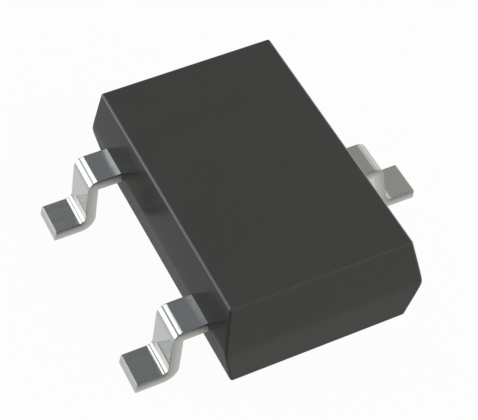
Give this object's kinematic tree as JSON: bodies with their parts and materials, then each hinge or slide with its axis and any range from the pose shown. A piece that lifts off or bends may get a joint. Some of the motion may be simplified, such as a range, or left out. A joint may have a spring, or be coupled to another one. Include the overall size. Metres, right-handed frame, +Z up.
{
  "type": "sot-23 transistor",
  "caption": "Surface-mount transistor: drafted black epoxy block with flat tin-plated gull-wing leads along its long sides, and the die and bond wires inside.",
  "frame": {"origin": "middle of the footprint on the seating plane, under the three feet", "axes": "+X along the block, +Y towards the single collector lead, +Z up out of the board"},
  "size_m": [0.003, 0.0032, 0.001],
  "materials": {
    "moulding_compound": "satin",
    "tin_plate": "satin",
    "silicon": "polished",
    "die_glue": "matte",
    "gold": "gloss"
  },
  "bodies": {
    "root": {"mould_body": "moulding_compound", "collector_lead": "tin_plate", "base_lead": "tin_plate", "emitter_lead": "tin_plate", "die": "silicon", "die_attach": "die_glue", "base_bond_wire": "gold", "emitter_bond_wire": "gold"}
  },
  "joints": []
}
